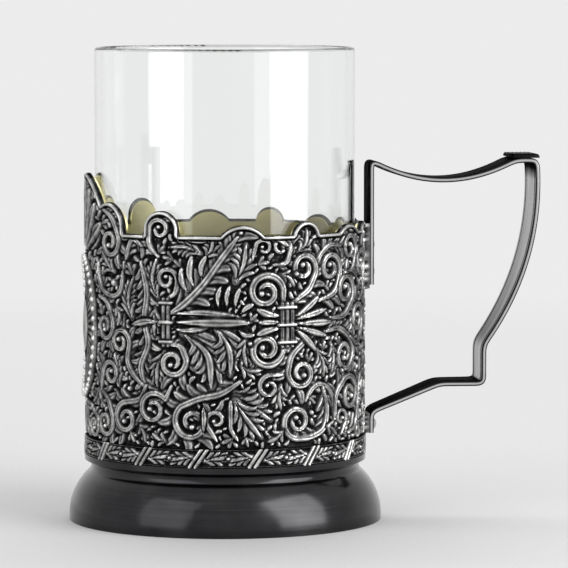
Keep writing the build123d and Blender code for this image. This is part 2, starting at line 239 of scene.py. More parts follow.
def spun(name, stops, rough, lines, edge=1.0):
    """Spun or turned metal: fine rings round the axis, so many per metre, with mottling."""
    made, tree, shader = material(name)
    mottle = noise(tree, scale=70, detail=6)
    rings = noise(tree, scale=lines, detail=2, stretch=TURNED)
    patches = maths(tree, "MULTIPLY", mottle, 1 - RING_SHARE)
    tone = maths(tree, "ADD", patches, maths(tree, "MULTIPLY", rings, RING_SHARE))
    wire(tree, shader, {
        "Base Color": ramp(tree, tone, stops),
        "Metallic": 1.0,
        "Roughness": fit(tree, tone, *NOISE_SPAN, *rough),
        "Specular Tint": (edge, edge, edge, 1),
        "Normal": bump(tree, rings, 0.06, 0.00005),
    })
    return made


gilt = spun(
    "gilt",
    [(0.3, (0.8, 0.71, 0.33)), (0.55, (0.92, 0.84, 0.46)), (0.75, (0.96, 0.91, 0.58))],
    rough=(0.36, 0.5),
    lines=1500,
)
# Polished foot metal with a near-black base colour: a painted dark reflection, standing in for dark
# surroundings mirrored in its polish
dark_polish = spun(
    "dark_polish",
    [(0.3, (0.022, 0.022, 0.024)), (0.5, (0.036, 0.036, 0.038)), (0.75, (0.062, 0.062, 0.064))],
    rough=(0.1, 0.22),
    lines=1800,
)
black_polish = spun(
    "black_polish",
    [(0.3, (0.008, 0.008, 0.009)), (0.5, (0.014, 0.014, 0.015)), (0.75, (0.03, 0.03, 0.031))],
    rough=(0.18, 0.34),
    lines=1800,
    edge=0.15,
)
strap_silver = spun(
    "strap_silver",
    [(0.3, 0.34), (0.5, (0.5, 0.5, 0.495)), (0.75, (0.62, 0.62, 0.61))],
    rough=(0.16, 0.3),
    lines=1500,
)

# Glass: its tints, how deep the shade of its rim goes and what it leaves of the light
TINTS = [(0.3, (0.97, 0.985, 0.98)), (0.7, (0.99, 0.995, 0.992))]
RIM_DEEP = 0.9
RIM_SHADE = 0.35


def clear_glass():
    """Clear pressed glass with a faint tint, slightly wavy faces and a darker rim."""
    made, tree, shader = material("clear_glass")
    wave = noise(tree, scale=40, detail=2, stretch=DRAWN)
    tint = ramp(tree, wave, TINTS)
    height = put(tree, "SeparateXYZ", {0: place(tree)}).outputs["Z"]
    shade = fit(tree, height, (glass_high.z - RIM_DEEP) * MM, glass_high.z * MM, 1.0, RIM_SHADE)
    wire(tree, shader, {
        "Base Color": put(tree, "VectorMath", {0: tint, "Scale": shade}, operation="SCALE").outputs[0],
        "Roughness": 0.0,
        "IOR": 1.47,
        "Transmission Weight": 1.0,
        "Normal": bump(tree, wave, 0.03, 0.0004),
    })
    return made


# The CAD nodes that are shown as they are
FINISHES = {
    "tea_glass": clear_glass(),
    "bead_frame": bead_silver,
    "foot_shell": dark_polish,
    "sleeve": gilt,
    "base_plate": gilt,
    "upper_rivets": strap_silver,
    "lower_rivets": strap_silver,
}
for node, finish in FINISHES.items():
    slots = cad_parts[node].data.materials
    slots.clear()
    slots.append(finish)


# Carved scrollwork: a height field on the unrolled wall, drawn stroke by stroke

# The field's cell, the radius it is unrolled at, and its ends up the wall
CELL = 0.125
FIELD_R = 36.0
HALF_TURN = math.pi * FIELD_R
FIELD_LOW_Z = WALL_LOW_Z - 1
FIELD_TOP_Z = RIM_Z + CREST_RISE + 1
# The plain oval behind the cartouche: its half width, half height and middle
PLAIN_W = 11.4
PLAIN_H = 18.8
PLAIN_Z = (bead_low.z + bead_high.z) / 2
# Across a ridge, in half widths: its reach, the moat that is sunk beside it, and the vein on its crest
REACH = 1.5
MOAT = 0.45
VEIN = 0.24
FAR = 99.0
# How rubbed a point is: the least, and what height and standing over its surroundings add
TONE_LEAST = 0.15
TONE_BY_HEIGHT = 0.46
TONE_BY_STANDING = 0.36
STANDING_FULL = 0.45
STANDING_R = 0.55


class Field:
    """Heights in millimetres over the unrolled wall: s along it from the crest, z up it."""

    def __init__(self, length, low, top):
        self.s = np.arange(-2, length + 2, CELL)
        self.z = np.arange(low, top, CELL)
        self.h = np.zeros((len(self.z), len(self.s)))

    def window(self, line, reach):
        """The slices of the field round a line."""
        s, z = np.array([line.min(0) - reach, line.max(0) + reach]).T
        return slice(*np.searchsorted(self.z, z)), slice(*np.searchsorted(self.s, s))

    def stroke(self, line, half, height, vein=0.0, round_=2.4, cut=0.5):
        """Raises a rounded ridge along a line, and sinks what lies close beside it.

        Vein is the depth of the groove on its crest and cut is how much is sunk, both as shares. A higher
        round_ makes the ridge flatter on top.
        """
        half = np.broadcast_to(half, len(line))
        rows, cols = self.window(line, half.max() * REACH + CELL)
        grid_s, grid_z = np.meshgrid(self.s[cols], self.z[rows])
        if not grid_s.size:
            return
        near = np.full(grid_s.shape, FAR)
        for (s, z), w in zip(line, half):
            r = int(w * REACH / CELL) + 2
            i = int((z - grid_z[0, 0]) / CELL)
            j = int((s - grid_s[0, 0]) / CELL)
            box = (slice(max(i - r, 0), i + r), slice(max(j - r, 0), j + r))
            away = np.hypot(grid_s[box] - s, grid_z[box] - z) / w
            near[box] = np.minimum(near[box], away)
        ridge = height * (1 - np.clip(near, 0, 1) ** round_)
        ridge -= vein * height * np.exp(-((near / VEIN) ** 2))
        beside = np.clip((near - 1) / MOAT, 0, 1)
        old = self.h[rows, cols] * (1 - cut * (1 - beside))
        self.h[rows, cols] = np.where(near < 1, np.maximum(ridge, old * near**4), old)

    def blurred(self, radius):
        """The heights averaged over a round patch: three passes up the wall, then three along it."""
        smooth = self.h
        steps = int(radius / CELL)
        width = 2 * steps + 1
        for _ in range(2):
            for _ in range(3):
                padded = np.pad(smooth, [(steps + 1, steps), (0, 0)], mode="edge")
                total = np.cumsum(padded, axis=0)
                smooth = (total[width:] - total[:-width]) / width
            smooth = smooth.T
        return smooth

    def read(self, values, s, z):
        """Values of the field at points along and up the wall."""
        col = np.clip((s - self.s[0]) / CELL, 0, len(self.s) - 1.001)
        row = np.clip((z - self.z[0]) / CELL, 0, len(self.z) - 1.001)
        j, i = col.astype(int), row.astype(int)
        u, v = col - j, row - i
        low = values[i, j] * (1 - u) + values[i, j + 1] * u
        high = values[i + 1, j] * (1 - u) + values[i + 1, j + 1] * u
        return low * (1 - v) + high * v

    def tone(self, full):
        """How rubbed each point is: bright on crests, black in pits."""
        standing = (self.h - self.blurred(STANDING_R)) / (STANDING_FULL * full)
        return np.clip(TONE_LEAST + TONE_BY_HEIGHT * self.h / full + TONE_BY_STANDING * standing, 0, 1)


# The distance between a line's points
LINE_STEP = 0.14


def spline(points):
    """Close points on the smooth curve through the given ones."""
    p = np.array(points, float)
    p = np.vstack([2 * p[0] - p[1], p, 2 * p[-1] - p[-2]])
    runs = []
    for a, b, c, d in zip(p, p[1:], p[2:], p[3:]):
        t = np.linspace(0, 1, max(2, int(np.linalg.norm(c - b) / LINE_STEP)), endpoint=False)[:, None]
        bend = (2 * a - 5 * b + 4 * c - d) * t**2 + (3 * b - a - 3 * c + d) * t**3
        runs.append(b + (c - a) * t / 2 + bend / 2)
    return np.vstack(runs + [p[-2:-1]])


def along(count):
    """Even steps from 0 to 1."""
    return np.linspace(0, 1, count)


# Stems and scrolls: their height, how wide they start, and how soon they are full
STEM_HEIGHT = 1.2
STEM_START = 0.45
SCROLL_START = 0.5
STEM_SWELL = 4
# A petal's bluntness, and the least half width of its ends
PETAL_BLUNT = 0.7
PETAL_LEAST = 0.12


def stem(field, points, start, end):
    """A grooved stem that tapers from one half width to the other."""
    line = spline(points)
    t = along(len(line))
    half = (start + (end - start) * t) * np.minimum(1, STEM_START + STEM_SWELL * np.minimum(t, 1 - t))
    field.stroke(line, half, STEM_HEIGHT, vein=0.42, cut=0.2)


def petal(field, points, half, height, vein=0.35, full=0.6):
    """A pointed leaf, fullest at a share of its length."""
    line = spline(points)
    t = along(len(line))
    power = full / (1 - full)
    width = t**power * (1 - t)
    width = (width / width.max()) ** PETAL_BLUNT
    field.stroke(line, np.maximum(half * width, PETAL_LEAST), height, vein=vein)


def ball(field, s, z, radius, height=1.2):
    """A round boss."""
    field.stroke(np.array([[s, z]]), radius, height, round_=2.0)


# A volute: its points per turn and millimetre of radius, and how far and how evenly it closes in
VOLUTE_POINTS = 45
VOLUTE_CLOSES = 0.76
VOLUTE_POWER = 0.9


def scroll(points, s, z, turns, way):
    """A stem's line that runs on into a volute round a middle, and where the volute starts."""
    lead = spline(points)
    out = lead[-1] - (s, z)
    radius = np.linalg.norm(out)
    t = along(int(radius * turns * VOLUTE_POINTS))
    turn = math.atan2(out[1], out[0]) + way * t * turns * 2 * math.pi
    r = radius * (1 - VOLUTE_CLOSES * t**VOLUTE_POWER)
    wound = np.stack([s + r * np.cos(turn), z + r * np.sin(turn)], 1)
    return np.vstack([lead, wound[1:]]), len(lead)


# Leaf fingers, by their size: how far ahead and to the side their points lie, and half width
FINGER = [(0, 0), (0.85, 0.45), (1.3, 1.3)]
FINGER_HALF = 0.44
FINGER_HEIGHT = 1.0


def finger(field, root, ahead, side, size):
    """A curled leaf finger that sweeps forward and out to one side."""
    out = np.array([-ahead[1], ahead[0]]) * side
    points = [root + ahead * size * a + out * size * b for a, b in FINGER]
    petal(field, points, size * FINGER_HALF, FINGER_HEIGHT, vein=0.4, full=0.52)


def lengths_along(line):
    """The distance from a line's start to each of its points."""
    return np.concatenate([[0], np.cumsum(np.linalg.norm(np.diff(line, axis=0), axis=1))])


def heading(line, i):
    """The way a line runs at one of its points."""
    ahead = line[min(i + 3, len(line) - 1)] - line[max(i - 3, 0)]
    return ahead / (np.linalg.norm(ahead) + 1e-9)


def husks(field, line, last, side, size):
    """Leaf fingers along one side of a line, up to a point of it."""
    lengths = lengths_along(line)
    for at in np.arange(size * 0.3, lengths[last - 1], size * 0.95):
        i = min(np.searchsorted(lengths, at), len(line) - 4)
        finger(field, line[i], heading(line, i), side, size)


# A strand of a full leaf: shares of the leaf's length from the strand's root, and of its breadth
STRAND = [(0, 0.15), (0.22, 0.5), (0.36, 1.0), (0.39, 1.45)]
# The last strand's root, the strands' least pitch and half width, and the most there are on a side
STRAND_LAST = 0.52
STRAND_PITCH = 2.2
STRAND_HALF = 0.62
STRAND_MOST = 5


def acanthus(field, points, half, height=1.1):
    """A full leaf: grooved strands that run up from its root and curl out along both edges."""
    line = spline(points)
    n = len(line)
    t = along(n)
    broad = half * np.sin(math.pi * (0.16 + 0.76 * t)) ** 0.8
    field.stroke(line, 0.8 * broad, height * 0.5, round_=5, cut=0.8)

    def at(share, out):
        i = int(min(share, 1) * (n - 1))
        ahead = heading(line, i)
        return line[i] + np.array([-ahead[1], ahead[0]]) * out * broad[i]

    pitch = max(half * 1.05, STRAND_PITCH)
    count = min(max(2, round(lengths_along(line)[-1] / pitch)), STRAND_MOST)
    strand_half = max(half * 0.29, STRAND_HALF)
    for k in reversed(range(count)):
        root = STRAND_LAST * k / (count - 1)
        for side in (1, -1):
            strand = [at(root + share, out * side) for share, out in STRAND]
            petal(field, strand, strand_half, height * 0.95, vein=0.3)
    rib = [at(0, 0), at(0.5, 0), at(1, 0)]
    petal(field, rib, strand_half * 1.1, height * 1.05, vein=0.3, full=0.66)


# Buds: their height, and the sizes up to which one is a single petal and from which it is a full leaf
BUD_HEIGHT = 1.0
BUD_PETAL = 2.6
BUD_LEAF = 4.4


def bud(field, root, tip):
    """A petal, a bud of three petals or a full leaf, by the room there is from its root."""
    reach = tip - root
    across = np.array([-reach[1], reach[0]])
    size = np.linalg.norm(reach)

    def at(share, out):
        return root + reach * share + across * out

    if size < BUD_PETAL:
        petal(field, [root, at(0.5, 0.12), tip], size * 0.32, BUD_HEIGHT, full=0.62)
        return
    if size > BUD_LEAF:
        acanthus(field, [root, at(0.5, 0.1), tip], size * 0.3, BUD_HEIGHT)
        return
    for side in (1, -1):
        points = [root, at(0.37, 0.23 * side), at(0.6, 0.52 * side)]
        petal(field, points, size * 0.2, BUD_HEIGHT * 0.9, vein=0.38, full=0.7)
    petal(field, [root, at(0.5, 0), tip], size * 0.2, BUD_HEIGHT, vein=0.38, full=0.66)


# Clasps: the bars' height, the binding's half width and height, and how far it goes past the bars and lies
# in from their ends
BAR_HEIGHT = 1.0
BINDING = (0.6, 1.15)
BIND_PAST = 0.3
BIND_IN = 0.9


def bars(field, s, z_low, z_high, pitch, count, half):
    """A clasp of upright bars side by side, bound across their middle and ends."""
    for k in range(count):
        x = s + (k - (count - 1) / 2) * pitch
        field.stroke(spline([(x, z_low), (x, z_high)]), half, BAR_HEIGHT, vein=0.5)
    reach = pitch * count / 2 + BIND_PAST
    for z in (z_low + BIND_IN, (z_low + z_high) / 2, z_high - BIND_IN):
        field.stroke(spline([(s - reach, z), (s + reach, z)]), *BINDING, vein=0.2, cut=0.2)


# Degrees to each side over which a lobe is followed
LOBE_REACH = 60


def rim_height(angle):
    """The rim's height at an angle from the crest, in degrees."""
    angle = np.abs(np.asarray(angle, float))
    z = np.full(angle.shape, RIM_Z)
    for at, width, rise in RIM_LOBES:
        across = GROUND_R * np.sin(np.radians(np.clip(angle - at, -LOBE_REACH, LOBE_REACH)))
        bow = (width**2 / 4 + rise**2) / (2 * rise)
        arc = np.sqrt(np.clip(bow**2 - across**2, 0, None)) - bow + rise
        z = np.where(np.abs(across) <= bow, np.maximum(z, RIM_Z + arc), z)
    return z


def rim_line(inset):
    """The rim's outline on the unrolled wall, moved in by an inset."""
    angle = np.linspace(-2, 182, 4000)
    line = np.stack([np.radians(angle) * FIELD_R, rim_height(angle)], 1)
    lengths = lengths_along(line)
    even = np.arange(0, lengths[-1], LINE_STEP)
    line = np.stack([np.interp(even, lengths, line[:, k]) for k in (0, 1)], 1)
    ahead = np.gradient(line, axis=0)
    ahead /= np.linalg.norm(ahead, axis=1)[:, None]
    return line + np.stack([ahead[:, 1], -ahead[:, 0]], 1) * inset


# Scrolls: the stem's points, the volute's middle, its turns and way, half width, leafy side if any
SCROLLS = [
    ([(36.6, 59.4), (39.2, 61), (39.9, 64)], 36.9, 64.4, 1.3, 1, 0.85, 0),
    ([(37.4, 48.2), (40.6, 47.6), (42.1, 44.6)], 38.5, 43.6, 1.4, -1, 1.05, 1),
    ([(67.2, 57.6), (67.3, 61.6)], 62.5, 61.3, 1.55, 1, 1.15, 0),
    ([(67.2, 48), (67.2, 46.4)], 62.6, 46.9, 1.55, -1, 1.15, 0),
    ([(69.4, 57.9), (71.6, 59.6), (74.6, 61.6), (76.6, 65)], 73.2, 67, 1.4, 1, 1.05, -1),
    ([(77.4, 50.6), (72.8, 48), (69.6, 45), (68.5, 41)], 72.5, 40.6, 1.4, 1, 1.05, -1),
    ([(56, 39), (51, 35.9), (45.6, 34.6), (40.8, 32.6)], 43.6, 28.6, 1.4, 1, 1.1, -1),
    ([(79.4, 36.4), (80.8, 31), (79.6, 26.2), (75.6, 24.3), (71.4, 24)], 71.2, 28.4, 1.45, -1, 1.05, -1),
    ([(67, 40.4), (64.4, 40.4)], 63.4, 37.4, 1.2, 1, 0.8, 0),
    ([(30.8, 37), (26.9, 40), (25, 43.4), (25.6, 47.4)], 22.2, 48, 1.4, 1, 0.95, -1),
    ([(14.6, 81.4), (19, 79), (21.6, 74.8)], 18, 73, 1.4, -1, 0.95, 1),
    ([(34.6, 70), (32, 73), (32, 77)], 34.9, 76.8, 1.2, -1, 0.85, 1),
    ([(31, 37.4), (29, 34), (24.6, 32.9)], 24.3, 28.7, 1.4, 1, 1.0, -1),
    ([(13, 35.6), (17, 33), (19.2, 28.6)], 15.7, 27, 1.3, -1, 0.9, 1),
    ([(13.6, 34.8), (14.8, 39.4)], 18.3, 39.6, 1.35, -1, 0.9, 1),
    ([(12.6, 59), (16.6, 57.6), (18.9, 54)], 15.7, 51.6, 1.35, -1, 0.9, 1),
    ([(38.2, 37.6), (36.6, 34.2)], 33, 31.6, 1.4, 1, 0.95, -1),
    ([(78, 58.6), (83.6, 60.4), (85.8, 64.6)], 82.2, 66.6, 1.4, 1, 1.0, -1),
    ([(82, 54), (87.6, 54.2), (92.2, 57.6)], 88.9, 60.6, 1.45, 1, 1.05, -1),
    ([(80, 50.6), (85.8, 51), (91.6, 48)], 88.4, 44.4, 1.45, -1, 1.05, 1),
    ([(83.9, 29), (84.6, 34.4), (88, 37.8)], 91, 34, 1.45, -1, 1.05, 1),
    ([(90.4, 24), (94.8, 26), (96.4, 31), (97.6, 36.4)], 101.4, 35.6, 1.4, -1, 1.0, 1),
    ([(91.2, 48.6), (95.4, 46.6), (99.6, 49.6)], 96.2, 52.8, 1.45, 1, 1.05, -1),
    ([(97.4, 57.6), (101.8, 60), (103, 64.8)], 99, 66.6, 1.4, 1, 1.0, -1),
    ([(88.4, 65), (92.6, 66), (94.6, 69.6)], 91, 71.2, 1.3, 1, 0.9, -1),
    ([(104, 22.6), (106, 27.6)], 103.2, 29, 1.2, 1, 0.75, 0),
    ([(108.4, 28), (104.6, 32), (106.4, 39)], 109.2, 39.6, 1.2, -1, 0.85, 1),
    ([(108.4, 43.4), (104.6, 47), (106.4, 54)], 109.2, 54.4, 1.2, -1, 0.85, 1),
    ([(3, 71.4), (8, 71), (11.6, 73.4)], 9.4, 76.2, 1.3, 1, 0.8, 0),
    ([(2, 31), (6.6, 30.4), (11, 28.4)], 9, 25.6, 1.3, -1, 0.8, 0),
    ([(64.6, 68), (68, 68.6), (69.2, 71.6)], 66.6, 72.4, 1.1, 1, 0.8, -1),
    ([(59, 69.4), (60, 73.4)], 62, 72.4, 1.0, -1, 0.7, 0),
    ([(50, 24), (48, 27)], 49.8, 29.2, 1.1, -1, 0.75, 1),
    ([(86.6, 24), (88.6, 26.4)], 86.6, 28.2, 1.1, 1, 0.7, 0),
]
# Stems: points and half width at each end, with sides that carry leaves
STEMS = [
    ([(38.2, 56.1), (41.5, 58.2), (46.4, 63.1), (50.8, 69.2), (55.4, 75.4)], 1.4, 0.9, (1, -1)),
    (
        [(12.2, 67.5), (12.8, 63.3), (14.6, 60.9), (17.5, 59.6), (20.4, 59.6), (22.6, 61.4), (23.3, 66)],
        0.9, 0.8, (),
    ),
    ([(29.4, 68.6), (31.2, 61), (30.4, 54), (31.6, 48), (29.4, 42), (31, 36.6)], 1.0, 1.1, (1, -1)),
    ([(73.6, 33.4), (75.6, 36.3), (78.4, 37.4), (81.6, 35.9), (83.4, 32.5), (83.9, 28)], 0.9, 0.8, ()),
    ([(53.4, 34), (53.4, 29.3), (53.6, 26.8), (55.4, 24)], 0.9, 0.6, ()),
    ([(24.4, 69), (26.6, 74), (30, 72.4)], 0.8, 0.8, (-1,)),
    ([(76.8, 66.4), (78.4, 70), (82, 72.4), (86.4, 72)], 0.9, 0.8, (-1, 1)),
]
# Leaves: points along the midrib, half width
LEAVES = [
    ([(54.8, 64), (56.8, 68.6), (57.4, 73.4)], 2.6),
    ([(41.4, 51.2), (45.4, 49.4), (47.4, 46), (48.7, 42.4), (48.6, 37)], 3.6),
    ([(50.3, 52.2), (52.8, 49.2), (53.2, 45.4), (53.4, 40.4)], 3.0),
    ([(56, 43), (58.4, 41.6), (61.6, 41.8)], 1.7),
    ([(34.4, 59.6), (32.9, 64), (34, 69.4)], 1.9),
    ([(54.6, 36), (58.6, 35), (62, 33)], 1.9),
    ([(54.8, 34.8), (59, 32), (64, 29)], 2.8),
    ([(54.6, 34), (57.4, 29.6), (61.4, 24.6)], 2.8),
    ([(47, 70), (48.6, 72), (49, 75.6)], 1.6),
    ([(46, 71), (42, 72.6), (37.6, 72.4)], 1.9),
    ([(26.4, 54), (25.2, 58.4), (26.8, 64.4)], 2.0),
    ([(21.6, 36.6), (21, 41.6), (20, 45)], 1.5),
    ([(93, 54.6), (92.8, 52), (93.6, 48.6)], 1.5),
    ([(66.6, 37.6), (66, 34.6), (66.6, 31.6)], 1.7),
    ([(26.6, 83), (25.6, 80), (24.6, 77)], 1.2),
    ([(57.6, 50), (56.8, 46), (57.6, 42.6)], 1.7),
    ([(102.6, 60), (104.6, 67), (104, 73)], 1.6),
    ([(77.6, 46), (79.4, 43), (79.6, 39.4)], 2.0),
    ([(82.6, 47.4), (83.4, 43.6), (82.6, 40)], 1.6),
    ([(71.4, 71), (73.6, 73), (74, 77)], 1.6),
    ([(19.6, 65.6), (17, 67.6), (14.4, 70.6)], 1.7),
    ([(36.2, 46), (34.4, 42.4), (34.2, 37.4)], 1.8),
    ([(33.6, 57), (33.4, 53.6), (33.6, 50)], 1.5),
    ([(20.6, 57), (22, 54.6), (21.4, 52)], 1.4),
    ([(66.4, 65.6), (69, 64.6), (70.4, 62.4)], 1.4),
]
# Smooth petals: root, middle and tip, with the half width
PETALS = [
    ([(63.4, 76), (65.8, 74.6), (68.6, 72.6)], 0.9),
    ([(46.6, 25.6), (46.7, 29), (46.6, 32.4)], 0.9),
    ([(40.6, 75.0), (44.1, 74.2), (47.6, 74)], 0.8),
    ([(70.4, 54.8), (74, 56.8), (78, 59.8)], 1.15),
    ([(70.4, 54.2), (75.4, 55.2), (80.6, 56.4)], 1.1),
    ([(70.4, 53.2), (76, 53), (82.8, 53)], 1.25),
    ([(70.4, 52.4), (75.4, 51), (80.6, 49.6)], 1.1),
    ([(70.4, 51.8), (73.4, 49.6), (77, 46)], 1.15),
    ([(38.4, 55.8), (46, 56.2), (56.4, 55)], 1.15),
    ([(38.4, 52), (43.4, 51.8), (49, 53)], 1.0),
    ([(38.4, 53.8), (48, 53.7), (59, 53.7)], 1.45),
    ([(34.8, 53.6), (31, 53.6), (26.6, 52.6)], 1.2),
    ([(56, 56), (57.4, 57.4), (59.4, 58.4)], 0.9),
    ([(55.6, 51.8), (57, 50.6), (59.6, 50.6)], 0.9),
    ([(44.2, 62.5), (43, 66), (43.6, 70.5)], 1.1),
    ([(46.2, 64.6), (46, 67.6), (47.4, 70.6)], 1.0),
    ([(42.6, 61.2), (41, 64), (40.9, 67.6)], 1.0),
    ([(50.6, 57.2), (50.2, 60), (51, 62.8)], 0.85),
    ([(52.6, 57.2), (52.5, 60.2), (53.2, 63)], 0.85),
    ([(54.6, 57.2), (54.9, 60), (56, 62.6)], 0.85),
    ([(66.4, 55.3), (63.4, 55.6), (60.2, 57)], 1.25),
    ([(66.4, 52.1), (63.4, 51.8), (60.2, 50.6)], 1.25),
    ([(66.4, 53.7), (64, 53.7), (60.6, 53.7)], 1.0),
]
# Bosses: place and radius
BALLS = [
    (19.6, 62.8, 1.4),
    (71, 65.6, 0.9),
    (58.4, 48.4, 0.9),
    (87, 40.2, 0.9),
    (56.1, 76.2, 0.9),
    (75.6, 30.4, 0.9),
    (25.6, 36.4, 0.9),
    (95.6, 42.6, 1.0),
]
# Clasps: place along the wall, lower and upper end, and the pitch, number and half width of the bars
CLASPS = [
    (36.6, 47.8, 59.4, 1.3, 2, 0.62),
    (68.4, 47.6, 58.2, 1.4, 3, 0.66),
]
# Fans of petals over and under the cartouche: the tips, the roots' and the elbows' spread and level, and
# the petals' half width and height
FANS = [
    ([(13.6, 77.4), (9.8, 82.4), (5.2, 86), (0, 87.8)], 0.2, 70.2, 0.62, 71, 2.3, 1.25),
    ([(8, 30.4), (5.2, 24.6), (0, 22.8)], 0.15, 31.4, 0.6, 30, 1.7, 1.15),
]
# The laurel behind the handle: its top, its pitch, how far its leaves lean, their half width and height
LAUREL_TOP_Z = 58
LAUREL_PITCH = 3.4
LAUREL_LEANS = (2.6, 0)
LAUREL_LEAF = (1.0, 1.1)
# Scrolls: how much wider they are drawn, their taper and pearls, and the leaves' size by the stem's width
SCROLL_GAIN = 1.1
SCROLL_TAPER = 0.4
PEARL_SHARE = 0.85
PEARL_HEIGHT = 1.3
SCROLL_HUSK = 2.6
STEM_HUSK = 2.5
PETAL_HEIGHT = 1.25
# The edge along the rim: how far in it runs, and its half width and height
RIM_EDGE_IN = 0.55
RIM_EDGE = (0.6, 1.1)


def fan(field, tips, root, root_z, elbow, elbow_z, half, height):
    """Petals that spread from one place to their tips."""
    for s, z in tips:
        petal(field, [(s * root, root_z), (s * elbow, (z + elbow_z) / 2), (s, z)], half, height)


def laurel(field):
    """Leaves up the wall behind the handle."""
    for z in np.arange(WALL_LOW_Z + 6, LAUREL_TOP_Z, LAUREL_PITCH):
        for lean in LAUREL_LEANS:
            elbow = (HALF_TURN - lean, z + 2.4)
            tip = (HALF_TURN - lean * 1.1, z + 5)
            petal(field, [(HALF_TURN, z), elbow, tip], *LAUREL_LEAF)


def draw_scrollwork():
    """The carved half wall, from the crest round to the handle."""
    field = Field(HALF_TURN, FIELD_LOW_Z, FIELD_TOP_Z)
    wound = [(scroll(*row[:5]), row[5] * SCROLL_GAIN, row[6]) for row in SCROLLS]
    for (line, lead), half, side in wound:
        if side:
            husks(field, line, lead + (len(line) - lead) // 3, side, half * SCROLL_HUSK)
    for points, start, _, sides in STEMS:
        line = spline(points)
        for side in sides:
            husks(field, line, len(line), side, start * STEM_HUSK)
    for points, half in LEAVES:
        acanthus(field, points, half)
    for points, start, end, _ in STEMS:
        stem(field, points, start, end)
    for (line, lead), half, _ in wound:
        t = along(len(line))
        width = half * (1 - SCROLL_TAPER * t) * np.minimum(1, SCROLL_START + STEM_SWELL * t)
        field.stroke(line, width, STEM_HEIGHT, vein=0.4, cut=0.3)
        ball(field, *line[-1], half * PEARL_SHARE, PEARL_HEIGHT)
    for points, half in PETALS:
        petal(field, points, half, PETAL_HEIGHT)
    for row in FANS:
        fan(field, *row)
    laurel(field)
    for row in CLASPS:
        bars(field, *row)
    for row in BALLS:
        ball(field, *row)
    fill(field)
    sow(field)
    field.stroke(rim_line(RIM_EDGE_IN), *RIM_EDGE)
    return field


# Buds: the height below which ground is bare, their distance from the rim, the search's step in cells, the
# most buds, the least room for one, and how far past the room's middle it reaches
BARE = 0.2
FILL_UNDER_RIM = 1.2
FILL_STEP = 3
FILL_COUNT = 260
FILL_LEAST = 0.9
FILL_PAST = 0.75
# The matted ground: the pitch along its rows and between them, its bosses, and its distance from the rim
SEED_PITCH = 1.0
SEED_ROW = 0.87
SEED_R = 0.45
SEED_HEIGHT = 0.3
SEED_UNDER_RIM = 1.6


def bare_ground(field):
    """Where the wall is still bare, on a coarse grid, and how deep in bare ground each point lies."""
    s = field.s[::FILL_STEP]
    z = field.z[::FILL_STEP, None]
    bare = field.h[::FILL_STEP, ::FILL_STEP] < BARE
    bare &= (z > WALL_LOW_Z) & (z < rim_height(np.degrees(s / FIELD_R)) - FILL_UNDER_RIM)
    bare &= (s / PLAIN_W) ** 2 + ((z - PLAIN_Z) / PLAIN_H) ** 2 > 1
    bare &= (s > 0) & (s < HALF_TURN)
    depth = np.zeros(bare.shape, int)
    live = bare.copy()
    while live.any():
        depth += live
        live[1:-1, 1:-1] &= live[:-2, 1:-1] & live[2:, 1:-1] & live[1:-1, :-2] & live[1:-1, 2:]
        live[0] = live[-1] = False
        live[:, 0] = live[:, -1] = False
    return s, z[:, 0], bare, depth


def fill(field):
    """Buds that grow from the stems into the widest patches of bare ground."""
    for _ in range(FILL_COUNT):
        s, z, bare, depth = bare_ground(field)
        i, j = np.unravel_index(np.argmax(depth), depth.shape)
        if depth[i, j] * FILL_STEP * CELL < FILL_LEAST:
            break
        middle = np.array([s[j], z[i]])
        rows, cols = np.nonzero(~bare)
        away = np.hypot(s[cols] - middle[0], z[rows] - middle[1])
        k = np.argmin(away)
        root = np.array([s[cols[k]], z[rows[k]]])
        bud(field, root, middle + (middle - root) * FILL_PAST)


def sow(field):
    """A matted ground: small bosses wherever the wall is still bare."""
    for row, z in enumerate(np.arange(WALL_LOW_Z + 1, FIELD_TOP_Z - 2, SEED_PITCH * SEED_ROW)):
        for s in np.arange(SEED_PITCH * (row % 2) / 2, HALF_TURN, SEED_PITCH):
            if z > rim_height(math.degrees(s / FIELD_R)) - SEED_UNDER_RIM:
                continue
            if field.h[field.window(np.array([[s, z]]), SEED_R)].max() < SEED_HEIGHT:
                ball(field, s, z, SEED_R, SEED_HEIGHT)


def finish_piece(mesh, finish, body, sharp=70):
    """Puts a mesh in the scene as a smooth piece of the same name that rides on a body."""
    mesh.materials.append(finish)
    mesh.shade_smooth()
    mesh.set_sharp_from_angle(angle=math.radians(sharp))
    piece = bpy.data.objects.new(mesh.name, mesh)
    scene.collection.objects.link(piece)
    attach(piece, body)
    return piece


def paint(mesh, tone):
    """Stores how rubbed each point of a mesh is; on the strap this also holds painted shade."""
    layer = mesh.attributes.new("tone", "FLOAT", "POINT")
    layer.data.foreach_set("value", np.asarray(tone, np.float32))


def quads(rows, cols, ring_rows, ring_cols):
    """Faces over a grid of points; its rows, its columns or both may close to a ring."""
    i = np.arange(rows if ring_rows else rows - 1)[:, None]
    j = np.arange(cols if ring_cols else cols - 1)
    here, above = i * cols, (i + 1) % rows * cols
    after = (j + 1) % cols
    return np.stack([here + j, here + after, above + after, above + j], -1).reshape(-1, 4).tolist()


# How rubbed the plain inner face of a shell is
INNER_TONE = 0.35


